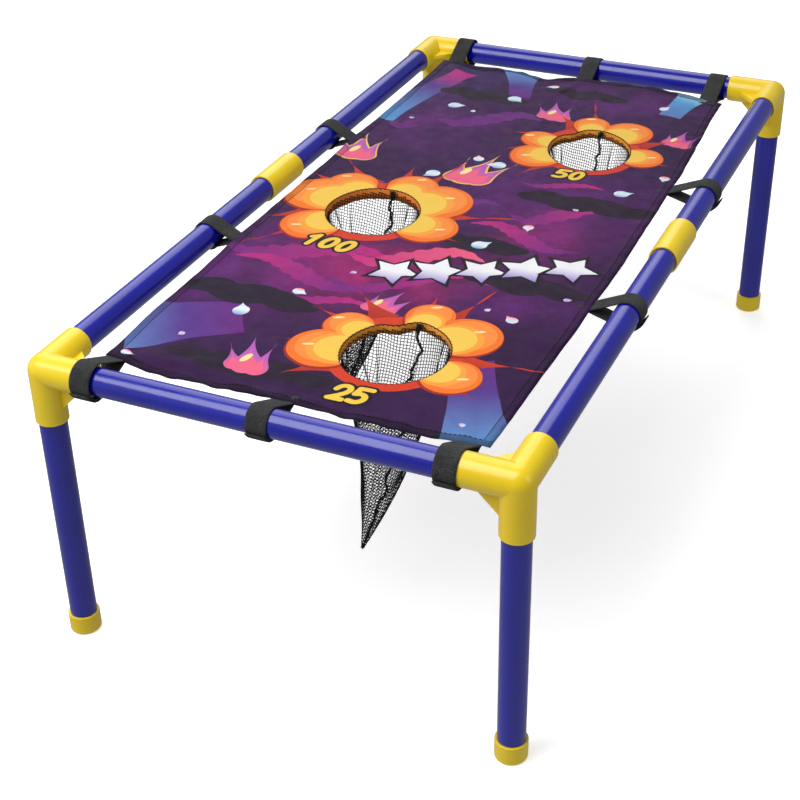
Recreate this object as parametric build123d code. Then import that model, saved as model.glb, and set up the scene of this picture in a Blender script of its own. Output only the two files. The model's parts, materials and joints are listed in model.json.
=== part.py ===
from build123d import *
import os
from math import cos, sin, acos, pi

# Bean-bag toss frame: a low rectangular table of push-fit plastic tubes that carries a stretched cloth with
# three scoring holes, a net pouch below each hole, and ten hook-and-loop straps that hold the cloth.
# Millimetres. Origin: centre of the footprint on the floor. +X right, +Y towards the far end, +Z up.

# ---- driving dimensions -------------------------------------------------------------------------------------
WIDTH = 430.0             # between the axes of the two long sides
LENGTH = 848.0            # between the axes of the two ends
HEIGHT = 285.0            # rail axis above the floor

TUBE_OD = 25.0
TUBE_WALL = 1.4
FIT = 0.05                # radial clearance of a tube in its socket
FITTING_OD = 29.3         # outside of every connector arm, coupler and foot cap

ARM = 50.0                # corner: axis intersection to each mouth
SOCKET_STOP = 14.0        # corner: axis intersection to the shoulder that stops the tube
PASSAGE_R = 10.5          # hollow middle of a fitting, inside the stop shoulders
WEB = 4.0                 # thickness of the gusset webs
MOUTH_ROUND = 0.7         # softened outer edge of a mouth
MOUTH_LEAD = 0.5          # lead-in chamfer inside a mouth

COUPLER_LENGTH = 66.0
COUPLER_RIB = 3.0         # stop rib in the middle of a coupler

CAP_HEIGHT = 20.0
CAP_FLOOR = 2.6
CAP_ROUND = 2.6

SHEET_X = (-186.0, 178.0)
SHEET_Y = (-391.0, 390.0)
SHEET_T = 1.0
HOLE_RX = 49.0            # the holes are pulled a little longer than wide by the straps
HOLE_RY = 54.0
HOLES = {"25": (49.0, -282.0), "100": (-87.0, -35.0), "50": (68.0, 192.0)}

STRAP_WIDTH = 19.0
STRAP_T = 1.5
STRAP_EASE = 0.1          # strap stands this far off the tube or fitting that it goes round
END_STRAPS_X = {"front": {"left": -170.0, "middle": -4.0, "right": 160.0},
                "rear": {"left": -170.0, "middle": -4.0, "right": 150.0}}
ON_CONNECTOR = {("front", "left"), ("front", "right"), ("rear", "left")}   # end straps that go round a corner arm
SIDE_STRAPS_Y = {"front": -140.0, "rear": 125.0}

NET_TOP = 14.0            # depth below the cloth at which a pouch solid starts
NET_DEPTH = 232.0         # depth of the pouch tip below the cloth
NET_MOUTH_RX = 48.0       # half width and half length that the pouch would have at the cloth
NET_MOUTH_RY = 53.0
NET_TIP_R = 3.0
NET_LEAN = -41.0          # the tip hangs this far to the left of its hole
NET_LEAN_POWER = 1.8      # the pouch leans more and more towards the tip
NET_T = 1.2
NET_STATIONS = (0.0, 0.22, 0.44, 0.64, 0.82, 1.0)

# ---- derived ------------------------------------------------------------------------------------------------
TUBE_R = TUBE_OD / 2
BORE_R = TUBE_R + FIT
FITTING_R = FITTING_OD / 2
HALF_W = WIDTH / 2
HALF_L = LENGTH / 2
SIDES = {"left": -1, "right": 1}
ENDS = {"front": -1, "rear": 1}

OUT = "parts"
os.makedirs(OUT, exist_ok=True)
nodes = {}


def keep(name, solid):
    """File one finished piece under its node name."""
    solid.label = name
    nodes[name] = solid


def along(axis, radius, start, end):
    """A cylinder on one of the X, Y or Z axes, from start to end along that axis."""
    low, high = min(start, end), max(start, end)
    bar = Cylinder(radius, high - low, align=(Align.CENTER, Align.CENTER, Align.MIN))
    turn = {"X": (0, 90, 0), "Y": (-90, 0, 0), "Z": (0, 0, 0)}[axis]
    base = {"X": (low, 0, 0), "Y": (0, low, 0), "Z": (0, 0, low)}[axis]
    return Pos(*base) * Rot(*turn) * bar


def turned(points_and_arcs):
    """Revolve a closed half profile, drawn in XZ with its axis on Z, into a solid of revolution."""
    return revolve(make_face(points_and_arcs), Axis.Z)


# ---- tubes --------------------------------------------------------------------------------------------------
def tube(axis, start, end):
    """A plain extruded tube along one axis, centred on the origin of the other two."""
    return along(axis, TUBE_R, start, end) - along(axis, TUBE_R - TUBE_WALL, start - 1, end + 1)


# ---- corner connector ---------------------------------------------------------------------------------------
def corner_arm():
    """One solid arm that points down -Z from the axis intersection, with a softened mouth."""
    profile = Polyline((FITTING_R, 0, 0), (0, 0, 0), (0, 0, -ARM), (FITTING_R - MOUTH_ROUND, 0, -ARM))
    profile += ThreePointArc((FITTING_R - MOUTH_ROUND, 0, -ARM),
                             (FITTING_R - MOUTH_ROUND + MOUTH_ROUND * sin(pi / 4), 0,
                              -ARM + MOUTH_ROUND - MOUTH_ROUND * cos(pi / 4)),
                             (FITTING_R, 0, -ARM + MOUTH_ROUND))
    profile += Line((FITTING_R, 0, -ARM + MOUTH_ROUND), (FITTING_R, 0, 0))
    return turned(profile)


def socket_cut():
    """The blind socket of one arm down -Z: bore, lead-in chamfer and the hollow passage behind the stop."""
    cut = along("Z", BORE_R, -ARM - 1, -SOCKET_STOP)
    cut += along("Z", PASSAGE_R, -SOCKET_STOP - 1, 0)
    lead = Cone(BORE_R + MOUTH_LEAD, BORE_R, MOUTH_LEAD, align=(Align.CENTER, Align.CENTER, Align.MIN))
    return cut + Pos(0, 0, -ARM) * lead


def web():
    """A triangular gusset in the XZ plane between the arms down -X and -Z."""
    reach = ARM - 0.6
    tri = Polyline((0, 0, 0), (-reach, 0, 0), (0, 0, -reach), close=True)
    return extrude(make_face(tri), amount=WEB / 2, both=True)


def corner_master():
    """Three-way connector with arms down -X, -Y and -Z: the one at the right-hand far corner."""
    to_x = Rot(0, 90, 0)
    to_y = Rot(-90, 0, 0)
    body = Sphere(FITTING_R) + corner_arm() + to_x * corner_arm() + to_y * corner_arm()
    body += web() + Rot(0, 0, 90) * web() + Rot(-90, 0, 0) * web()
    for turn in (Rot(0, 0, 0), to_x, to_y):
        body -= turn * socket_cut()
    return body


# ---- couplers and caps --------------------------------------------------------------------------------------
def coupler():
    """A straight sleeve on the Y axis with a stop rib in the middle."""
    half = COUPLER_LENGTH / 2
    outer = FITTING_R
    profile = Polyline((PASSAGE_R, 0, -COUPLER_RIB / 2), (BORE_R, 0, -COUPLER_RIB / 2),
                       (BORE_R, 0, -half + MOUTH_LEAD), (BORE_R + MOUTH_LEAD, 0, -half),
                       (outer - MOUTH_ROUND, 0, -half))
    profile += ThreePointArc((outer - MOUTH_ROUND, 0, -half),
                             (outer - MOUTH_ROUND * (1 - sin(pi / 4)), 0, -half + MOUTH_ROUND * (1 - cos(pi / 4))),
                             (outer, 0, -half + MOUTH_ROUND))
    profile += Line((outer, 0, -half + MOUTH_ROUND), (outer, 0, 0))
    profile += Line((outer, 0, 0), (PASSAGE_R, 0, 0))
    profile += Line((PASSAGE_R, 0, 0), (PASSAGE_R, 0, -COUPLER_RIB / 2))
    lower = turned(profile)
    sleeve = lower + mirror(lower, Plane.XY)
    return Rot(-90, 0, 0) * sleeve


def foot_cap():
    """A cup that closes the bottom of a leg, standing on the floor."""
    profile = Polyline((0, 0, 0), (FITTING_R - CAP_ROUND, 0, 0))
    profile += ThreePointArc((FITTING_R - CAP_ROUND, 0, 0),
                             (FITTING_R - CAP_ROUND * (1 - sin(pi / 4)), 0, CAP_ROUND * (1 - cos(pi / 4))),
                             (FITTING_R, 0, CAP_ROUND))
    profile += Polyline((FITTING_R, 0, CAP_ROUND), (FITTING_R, 0, CAP_HEIGHT - MOUTH_ROUND))
    profile += ThreePointArc((FITTING_R, 0, CAP_HEIGHT - MOUTH_ROUND),
                             (FITTING_R - MOUTH_ROUND * (1 - cos(pi / 4)), 0,
                              CAP_HEIGHT - MOUTH_ROUND * (1 - sin(pi / 4))),
                             (FITTING_R - MOUTH_ROUND, 0, CAP_HEIGHT))
    profile += Polyline((FITTING_R - MOUTH_ROUND, 0, CAP_HEIGHT), (BORE_R, 0, CAP_HEIGHT),
                        (BORE_R, 0, CAP_FLOOR), (0, 0, CAP_FLOOR), (0, 0, 0))
    return turned(profile)


# ---- straps -------------------------------------------------------------------------------------------------
def teardrop(radius, reach):
    """Outline in XY round a circle at the origin, drawn in by tangents to a point on +X at reach."""
    lean = acos(radius / reach)
    touch = Vector(radius * cos(lean), radius * sin(lean))
    other = Vector(touch.X, -touch.Y)
    back = ThreePointArc(touch, (-radius, 0), other)
    return make_face(back + Line(other, (reach, 0)) + Line((reach, 0), touch))


def strap(core_r, reach):
    """A webbing loop round a bar on the Z axis, both runs closing at the cloth's edge on +X at reach."""
    inner = core_r + STRAP_EASE
    loop = teardrop(inner + STRAP_T, reach + 2 * STRAP_T) - teardrop(inner, reach - 2 * STRAP_T)
    loop = loop & Pos(reach / 2 - 30, 0) * Rectangle(reach + 60, 60)
    return extrude(loop, amount=STRAP_WIDTH / 2, both=True)


# ---- cloth and nets -----------------------------------------------------------------------------------------
def target_sheet():
    """The stretched cloth as a thin plate with its three holes."""
    width = SHEET_X[1] - SHEET_X[0]
    length = SHEET_Y[1] - SHEET_Y[0]
    middle = (sum(SHEET_X) / 2, sum(SHEET_Y) / 2, HEIGHT)
    plate = Pos(*middle) * Box(width, length, SHEET_T)
    for x, y in HOLES.values():
        plate -= Pos(x, y, HEIGHT) * extrude(Ellipse(HOLE_RX, HOLE_RY), amount=2 * SHEET_T, both=True)
    return plate


def net_ring(share, shrink):
    """One oval of a pouch, at a share of the way from its open top to its tip."""
    depth = NET_TOP + share * (NET_DEPTH - NET_TOP)
    radii = (mouth + (NET_TIP_R - mouth) * depth / NET_DEPTH - shrink for mouth in (NET_MOUTH_RX, NET_MOUTH_RY))
    lean = NET_LEAN * (depth / NET_DEPTH) ** NET_LEAN_POWER
    return Pos(lean, 0, -depth) * Ellipse(*radii)


def net_pouch():
    """A leaning conical pouch, open at the top, below a hole centred on the origin at cloth height."""
    outer = loft([net_ring(share, 0) for share in NET_STATIONS], ruled=True)
    hollow = loft([net_ring(share * 0.985, NET_T) for share in NET_STATIONS], ruled=True)
    mouth = Pos(0, 0, -NET_TOP) * Cylinder(NET_MOUTH_RX * 0.9, 0.2)
    return outer - hollow - mouth


# ---- assembly -----------------------------------------------------------------------------------------------
def build():
    rail_end_x = HALF_W - SOCKET_STOP
    rail_end_y = HALF_L - SOCKET_STOP
    leg_top = HEIGHT - SOCKET_STOP

    corner = corner_master()
    leg = tube("Z", CAP_FLOOR, leg_top)
    cap = foot_cap()
    for end, sy in ENDS.items():
        for side, sx in SIDES.items():
            piece = corner
            if sx < 0:
                piece = mirror(piece, Plane.YZ)
            if sy < 0:
                piece = mirror(piece, Plane.XZ)
            place = Pos(sx * HALF_W, sy * HALF_L, HEIGHT)
            keep(f"corner_{end}_{side}", place * piece)
            foot = Pos(sx * HALF_W, sy * HALF_L, 0)
            keep(f"leg_{end}_{side}", foot * leg)
            keep(f"foot_{end}_{side}", foot * cap)
        keep(f"end_rail_{end}", Pos(0, sy * HALF_L, HEIGHT) * tube("X", -rail_end_x, rail_end_x))

    for side, sx in SIDES.items():
        keep(f"coupler_{side}", Pos(sx * HALF_W, 0, HEIGHT) * coupler())
        for end, sy in ENDS.items():
            half = tube("Y", *sorted((sy * COUPLER_RIB / 2, sy * rail_end_y)))
            keep(f"side_rail_{side}_{end}", Pos(sx * HALF_W, 0, HEIGHT) * half)

    for end, sy in ENDS.items():
        edge = SHEET_Y[0] if sy < 0 else SHEET_Y[1]
        reach = abs(sy * HALF_L - edge)
        stand = Rot(0, 90, 0) * Rot(0, 0, 90) if sy < 0 else Rot(0, 90, 0) * Rot(0, 0, -90)
        for spot, x in END_STRAPS_X[end].items():
            core = FITTING_R if (end, spot) in ON_CONNECTOR else TUBE_R
            keep(f"strap_{end}_{spot}", Pos(x, sy * HALF_L, HEIGHT) * stand * strap(core, reach))
    for side, sx in SIDES.items():
        edge = SHEET_X[0] if sx < 0 else SHEET_X[1]
        reach = abs(sx * HALF_W - edge)
        turn = Rot(90, 0, 0) if sx < 0 else Rot(90, 0, 0) * Rot(0, 0, 180)
        for spot, y in SIDE_STRAPS_Y.items():
            keep(f"strap_{side}_{spot}", Pos(sx * HALF_W, y, HEIGHT) * turn * strap(TUBE_R, reach))

    keep("target_sheet", target_sheet())
    pouch = net_pouch()
    for score, (x, y) in HOLES.items():
        keep(f"net_{score}", Pos(x, y, HEIGHT) * pouch)


build()
for name, solid in nodes.items():
    export_step(solid, os.path.join(OUT, name + ".step"))
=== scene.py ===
import json
from functools import cache
from math import acos, atan2, cos, exp, hypot, pi, radians, sin

import bpy
import numpy as np
from mathutils import Matrix, Vector, noise
from mathutils.geometry import delaunay_2d_cdt


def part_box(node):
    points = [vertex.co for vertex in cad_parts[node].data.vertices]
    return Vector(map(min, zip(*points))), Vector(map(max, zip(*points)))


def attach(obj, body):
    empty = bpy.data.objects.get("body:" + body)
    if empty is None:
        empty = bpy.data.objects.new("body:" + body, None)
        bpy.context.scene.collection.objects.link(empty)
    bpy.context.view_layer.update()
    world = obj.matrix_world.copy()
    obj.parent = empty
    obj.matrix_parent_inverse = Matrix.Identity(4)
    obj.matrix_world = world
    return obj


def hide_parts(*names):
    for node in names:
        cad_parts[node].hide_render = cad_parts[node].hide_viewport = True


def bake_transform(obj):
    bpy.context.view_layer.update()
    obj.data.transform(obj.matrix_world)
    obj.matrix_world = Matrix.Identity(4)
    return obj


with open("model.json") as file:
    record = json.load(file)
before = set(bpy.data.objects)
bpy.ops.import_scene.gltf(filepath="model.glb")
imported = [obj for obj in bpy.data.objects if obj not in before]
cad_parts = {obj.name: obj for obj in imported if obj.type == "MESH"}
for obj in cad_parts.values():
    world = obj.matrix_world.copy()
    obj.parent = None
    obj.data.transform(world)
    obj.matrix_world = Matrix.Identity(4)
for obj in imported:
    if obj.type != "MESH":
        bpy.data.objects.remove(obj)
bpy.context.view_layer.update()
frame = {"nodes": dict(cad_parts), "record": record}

# The looks of a bean-bag toss frame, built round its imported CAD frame. Metres, unless a name ends in _MM.
MM = 0.001

# ---- the view ----
CAMERA_PLACE = (0.539, -1.339, 0.975)
CAMERA_AZIMUTH, CAMERA_ELEVATION, CAMERA_ROLL = 24.72, 32.44, -1.21   # degrees
CAMERA_LENS = 70.6

# ---- sizes of what only the looks need, in millimetres ----
# Each hole in the cloth is an oval: half width, half length and tilt in degrees.
OVAL = {"25": (48.5, 54.5, 3), "50": (45.5, 56.5, 22), "100": (48.5, 54.5, 15)}
MOUTH_MM = 1.4            # the net's mouth is this far inside the oval
LIP_MM = {"25": 9.0, "50": 9.5, "100": 11.5}   # height of the turned-down hem of each hole
LIP_INK = {"25": "amber", "50": "amber", "100": "peel"}   # the print on the hem's inner face
GRID_MM = 5.0             # spacing of the cloth's own vertices
CELL_MM = 2.5             # a grid vertex is left out where an outline runs through its cell
RING_MM = 3.5             # a ring of vertices this far outside each hole keeps its rim even
HEM_MM = 8.5              # outer hem, fold to stitch line
CLOTH_T_MM = 0.5
STITCH_MM = 3.0
STITCH_GAP_MM = 1.2
STITCH_R_MM = 0.3
BINDING_R_MM = 0.6
BINDING_TURNS = 62        # turns of the binding thread round each hole
SAG_MM = 1.8              # sag of the cloth's middle

NET_WIDE_MM = 3.9         # width of one mesh of the net
NET_SLOPE_MM = 1.85       # rise of the slanting threads of a mesh
NET_KNOT_MM = 0.55        # upright thread between meshes
YARN_R_MM = 0.42
NET_DROP_MM = 232.0       # depth of a pouch below its hole
NET_LEAN_MM = -41.0       # how far its tip hangs to the left of the hole
NET_LEAN_POWER = 1.8

STRAP_T_MM = 1.6
STRAP_LAP_MM = 13.0       # how far a strap is sewn in under the cloth
TAIL_START, TAIL_TURN = -58, 104   # the lapped end round the bar, in degrees
TAIL_LIFT_MM = 0.9        # its tip stands off by this


# ---- places read from the frame ----
def middle(node):
    """The centre of a CAD node's box."""
    low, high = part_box(node)
    return (Vector(low) + Vector(high)) / 2


RAIL_Z = middle("end_rail_front").z
HALF_L = middle("end_rail_rear").y
HALF_W = middle("side_rail_right_front").x
TUBE_R = (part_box("end_rail_front")[1][1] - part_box("end_rail_front")[0][1]) / 2
FITTING_R = (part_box("coupler_left")[1][0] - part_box("coupler_left")[0][0]) / 2
SHEET_LOW, SHEET_HIGH = (Vector(corner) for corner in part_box("target_sheet"))
HOLES = {joint["child"].split("_")[1]: Vector(joint["pos_m"]) for joint in frame["record"]["behaviour"]["joints"]
         if joint["child"].startswith("pouch_")}


# ---- node helpers ----
class Nodes:
    """The node tree of a material or a world, with short calls to add and join nodes."""

    def __init__(self, owner, shader="Principled BSDF", place="Object"):
        self.owner = owner
        owner.use_nodes = True
        self.tree = owner.node_tree
        self.shader = self.tree.nodes[shader]
        self.place = self.add("ShaderNodeTexCoord").outputs[place]

    def add(self, kind, **settings):
        node = self.tree.nodes.new(kind)
        for key, value in settings.items():
            setattr(node, key, value)
        return node

    def put(self, socket, value):
        """Join a socket to an output, or set its constant."""
        if isinstance(value, bpy.types.NodeSocket):
            self.tree.links.new(value, socket)
        else:
            socket.default_value = value

    def put_all(self, node, **sockets):
        """Put several sockets of a node by name, with _ for a space."""
        for name, value in sockets.items():
            self.put(node.inputs[name.replace("_", " ")], value)

    def noise(self, scale, detail=3.0, rough=0.55, stretch=None, distort=0.0):
        node = self.add("ShaderNodeTexNoise")
        self.put_all(node, Vector=self.scaled(stretch) if stretch else self.place, Scale=scale, Detail=detail,
                     Roughness=rough, Distortion=distort)
        return node.outputs["Fac"]

    def bands(self, direction, scale, distort, detail, detail_scale=1.0):
        node = self.add("ShaderNodeTexWave", wave_type="BANDS", bands_direction=direction)
        self.put_all(node, Vector=self.place, Scale=scale, Distortion=distort, Detail=detail,
                     Detail_Scale=detail_scale)
        return node.outputs["Fac"]

    def scaled(self, stretch):
        node = self.add("ShaderNodeMapping")
        self.put_all(node, Vector=self.place, Scale=stretch)
        return node.outputs["Vector"]

    def math(self, operation, a, b=0.0, c=0.0):
        node = self.add("ShaderNodeMath", operation=operation)
        for socket, value in zip(node.inputs, (a, b, c)):
            self.put(socket, value)
        return node.outputs[0]

    def span(self, value, low, high, to_low=0.0, to_high=1.0, curve="LINEAR"):
        node = self.add("ShaderNodeMapRange", interpolation_type=curve)
        for socket, v in zip(node.inputs, (value, low, high, to_low, to_high)):
            self.put(socket, v)
        return node.outputs[0]

    def mix(self, share, a, b, blend="MIX"):
        node = self.add("ShaderNodeMix", data_type="RGBA", blend_type=blend)
        self.put_all(node, Factor=share, A=a, B=b)
        return node.outputs["Result"]

    def bump(self, height, distance, strength=1.0, normal=None):
        node = self.add("ShaderNodeBump")
        self.put_all(node, Height=height, Distance=distance, Strength=strength)
        if normal is not None:
            self.put(node.inputs["Normal"], normal)
        return node.outputs["Normal"]

    def finish(self, **sockets):
        self.put_all(self.shader, **sockets)
        return self.owner


def new_material(name):
    return Nodes(bpy.data.materials.new(name))


def linear(red, green, blue):
    """A colour given as it looks on screen, 0 to 255, as the linear colour that shaders take."""
    return tuple((c / 255 / 12.92 if c <= 10 else ((c / 255 + 0.055) / 1.055) ** 2.4)
                 for c in (red, green, blue)) + (1.0,)


# ---- materials ----
def plastic(name, body, shade, rough, along=None):
    """Glossy plastic: faint cloudy colour, fine scuffs and, on a tube, faint lines from extrusion."""
    n = new_material(name)
    cloud = n.span(n.noise(22.0, 2.0), 0.35, 0.7)
    colour = n.mix(cloud, body, shade)
    scuff = n.noise(900.0, 4.0, 0.7)
    smear = n.noise(55.0, 3.0, 0.6)
    roughness = n.math("ADD", n.span(smear, 0.3, 0.75, rough, rough + 0.1), n.span(scuff, 0.55, 0.8, 0.0, 0.12))
    normal = n.bump(n.noise(260.0, 2.0), 0.00006, 0.35)
    if along:
        lines = n.noise(420.0, 2.0, 0.5, stretch=along)
        normal = n.bump(lines, 0.00005, 0.5, normal)
    return n.finish(Base_Color=colour, Roughness=roughness, Normal=normal, Coat_Weight=0.25, Coat_Roughness=0.08)


def webbing():
    """Black hook-and-loop webbing: a twill of grey flecks over black with painted shade in its grooves, dry and a
    little furry.
    """
    n = new_material("strap_webbing")
    rows = n.bands("DIAGONAL", 420.0, 2.5, 2.0, 3.0)
    fleck = n.noise(1500.0, 2.0, 0.6)
    worn = n.noise(70.0, 2.0)
    # Painted shade: the colour is darker where the twill's rows are low, the same rows that make the bump's
    # grooves.
    light = n.math("MULTIPLY", n.span(fleck, 0.38, 0.62), n.span(rows, 0.3, 0.9, 0.3, 1.0))
    light = n.math("MULTIPLY", light, n.span(worn, 0.3, 0.7, 0.45, 1.0))
    colour = n.mix(light, linear(24, 25, 26), linear(104, 105, 106))
    height = n.math("ADD", rows, n.math("MULTIPLY", fleck, 0.8))
    normal = n.bump(height, 0.0006, 0.9)
    return n.finish(Base_Color=colour, Roughness=0.85, Normal=normal, Sheen_Weight=0.05, Sheen_Roughness=0.5,
                    Specular_IOR_Level=0.25)


def yarn(name, dark, light):
    """Matt thread with a slight twist to its colour."""
    n = new_material(name)
    colour = n.mix(n.span(n.noise(1200.0, 2.0), 0.35, 0.7), dark, light)
    return n.finish(Base_Color=colour, Roughness=0.7, Normal=n.bump(n.noise(2600.0, 1.0), 0.0001, 0.6),
                    Specular_IOR_Level=0.2)


def weave_height(n):
    """Plain weave of fine polyester, two crossed sets of threads."""
    return n.math("ADD", *(n.bands(direction, 700.0, 0.6, 1.0) for direction in ("X", "Y")))


def printed_cloth(name, reverse=False):
    """Printed polyester. The print is the mesh's own colour, and its alpha says where clouds of dye show."""
    n = new_material(name)
    print_ = n.add("ShaderNodeVertexColor", layer_name="print")
    streak = n.noise(34.0, 4.0, 0.6, stretch=(1.0, 0.45, 1.0), distort=1.2)
    wisp = n.noise(95.0, 3.0, 0.55, distort=0.8)
    light = n.mix(n.span(streak, 0.42, 0.66), linear(70, 40, 84), linear(168, 96, 176))
    clouded = n.mix(n.span(wisp, 0.35, 0.8, 0.05, 0.5), print_.outputs["Color"], light, "SOFT_LIGHT")
    colour = n.mix(print_.outputs["Alpha"], print_.outputs["Color"], clouded)
    weave = weave_height(n)
    # Painted shade: the colour darkens towards near black in the low parts of the weave, between the threads.
    colour = n.mix(n.span(weave, 0.0, 2.0, 0.2, 0.04), colour, linear(12, 8, 18))
    smooth, matt, sheen = 0.42, 0.58, 0.02
    if reverse:
        colour = n.mix(0.62, colour, linear(196, 190, 200))
        smooth, matt, sheen = 0.66, 0.8, 0.1
    rough = n.span(n.noise(60.0, 3.0), 0.3, 0.7, smooth, matt)
    normal = n.bump(weave, 0.00012, 0.5)
    return n.finish(Base_Color=colour, Roughness=rough, Normal=normal, Sheen_Weight=sheen, Sheen_Roughness=0.4,
                    Specular_IOR_Level=0.1)


def paper(name, shade, glow):
    """The studio's plain paper, which glows white by itself."""
    n = new_material(name)
    return n.finish(Base_Color=linear(shade, shade, shade), Roughness=0.8, Emission_Color=linear(255, 255, 255),
                    Emission_Strength=glow)


# ---- mesh helpers ----
def piece(name, points, faces, materials, smooth=True):
    """A mesh object in the row's frame."""
    mesh = bpy.data.meshes.new(name)
    mesh.from_pydata([tuple(p) for p in points], [], faces)
    mesh.polygons.foreach_set("use_smooth", [smooth] * len(mesh.polygons))
    for material in materials:
        mesh.materials.append(material)
    mesh.update()
    return placed(name, mesh)


def placed(name, data):
    """An object with its data, in the scene."""
    obj = bpy.data.objects.new(name, data)
    bpy.context.scene.collection.objects.link(obj)
    return obj


def circle(count, rx=1.0, ry=1.0):
    return [(rx * cos(2 * pi * k / count), ry * sin(2 * pi * k / count)) for k in range(count)]


def sweep(path, section):
    """Points and faces of a closed section carried along a path of (place, across, up) frames."""
    points, faces = [], []
    size = len(section)
    for place, across, up in path:
        points += [place + across * a + up * b for a, b in section]
    for ring in range(len(path) - 1):
        for k in range(size):
            a = ring * size + k
            b = ring * size + (k + 1) % size
            faces.append((a, b, b + size, a + size))
    faces.append(tuple(reversed(range(size))))
    faces.append(tuple(range((len(path) - 1) * size, len(path) * size)))
    return points, faces


def way_at(line, k):
    """The direction of a polyline at its point k."""
    return (line[min(k + 1, len(line) - 1)] - line[max(k - 1, 0)]).normalized()


def thread(line, radius, sides=6):
    """Points and faces of a round thread along a polyline."""
    frames = []
    for k, place in enumerate(line):
        ahead = way_at(line, k)
        upright = abs(ahead.z) > 0.9
        side = (ahead.orthogonal() if upright else ahead.cross(Vector((0, 0, 1)))).normalized()
        frames.append((place, side, side.cross(ahead).normalized()))
    return sweep(frames, circle(sides, radius, radius))


def join(parts):
    """Several (points, faces) sets as one."""
    points, faces = [], []
    for some_points, some_faces in parts:
        base = len(points)
        points += some_points
        faces += [tuple(i + base for i in face) for face in some_faces]
    return points, faces


# ---- the cloth's shape ----
def bell(distance, reach):
    return exp(-(distance / reach) ** 2)


def ramp(value):
    """0 below 0, 1 above 1 and smooth between."""
    t = min(max(value, 0.0), 1.0)
    return t * t * (3 - 2 * t)


LOW_X, LOW_Y, HIGH_X, HIGH_Y = (v / MM for v in (*SHEET_LOW.xy, *SHEET_HIGH.xy))
# The ten straps, each with the way from the cloth to its rail.
STRAPS = [(f"strap_{side}_{spot}", Vector(out))
          for side, out in (("front", (0, -1, 0)), ("rear", (0, 1, 0)), ("left", (-1, 0, 0)), ("right", (1, 0, 0)))
          for spot in (("left", "middle", "right") if out[1] else ("front", "rear"))]


def strap_root(node, out):
    """Where a strap holds the flat cloth's edge, (x, y) in millimetres."""
    at = middle(node)
    if out.y:
        return at.x / MM, LOW_Y if out.y < 0 else HIGH_Y
    return LOW_X if out.x < 0 else HIGH_X, at.y / MM


ROOTS = [strap_root(*strap) for strap in STRAPS]

# Creases, most of them running in from a strap: (from x, from y, to x, to y, half width, height), millimetres.
CREASES = ((-4, 390, -30, 285, 6, 1.9), (-4, 390, 9, 280, 6, -1.7), (-4, 390, 42, 318, 7, 1.5),
           (-4, 390, -66, 338, 7, -1.5), (-8, 300, -14, 60, 11, 0.9), (14, 290, 20, 120, 10, -0.7),
           (-4, -391, -96, -372, 5, 2.2), (-4, -391, 74, -374, 5, -1.9), (-4, -391, -34, -322, 7, 1.3),
           (-4, -391, 24, -342, 6, -1.3), (-150, -380, -40, -382, 5, -1.8), (20, -380, 140, -382, 5, 1.6),
           (-182, -388, -62, -352, 7, 2.6), (-180, -388, -122, -296, 9, -2.0), (-172, -390, -110, -340, 6, 1.6),
           (168, -390, 98, -348, 7, 2.0), (168, -390, 134, -286, 9, -1.5), (-176, 388, -118, 312, 9, 1.8),
           (-176, 388, -92, 372, 6, -1.8), (152, 382, 112, 322, 8, 1.7), (152, 382, 84, 372, 6, -1.5),
           (-186, -140, -104, -152, 8, 1.3), (-186, -140, -120, -110, 9, -1.0), (-186, 125, -112, 108, 8, 1.2),
           (-186, 125, -126, 152, 9, -1.0), (180, -140, 104, -118, 8, 1.3), (180, -140, 116, -172, 9, -1.0),
           (178, 125, 116, 146, 8, 1.2), (178, 125, 122, 96, 9, -1.0), (-6, -60, 2, -205, 5, 1.0),
           (-150, -180, -60, -330, 12, 0.9), (130, -60, 60, -210, 12, 0.8))

# Where a hole's edge is pulled out of its oval: (x, y, how far in x, in y), millimetres.
NOTCHES = ((30.0, -233.0, 1.5, -7.0), (33.0, 234.0, 4.0, -6.0), (48.0, -230.0, 0.0, 2.5),
           (-50.0, -78.0, 1.5, -2.0))


def crease_height(x, y):
    total = 0.0
    for ax, ay, bx, by, wide, high in CREASES:
        dx, dy = bx - ax, by - ay
        t = ((x - ax) * dx + (y - ay) * dy) / (dx * dx + dy * dy)
        off = ((x - ax) * dy - (y - ay) * dx) / hypot(dx, dy)
        if 0 < t < 1 and abs(off) < 3 * wide:
            total += high * sin(pi * t) ** 0.8 * bell(off, wide * (0.45 + 0.75 * t))
    return total


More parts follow.
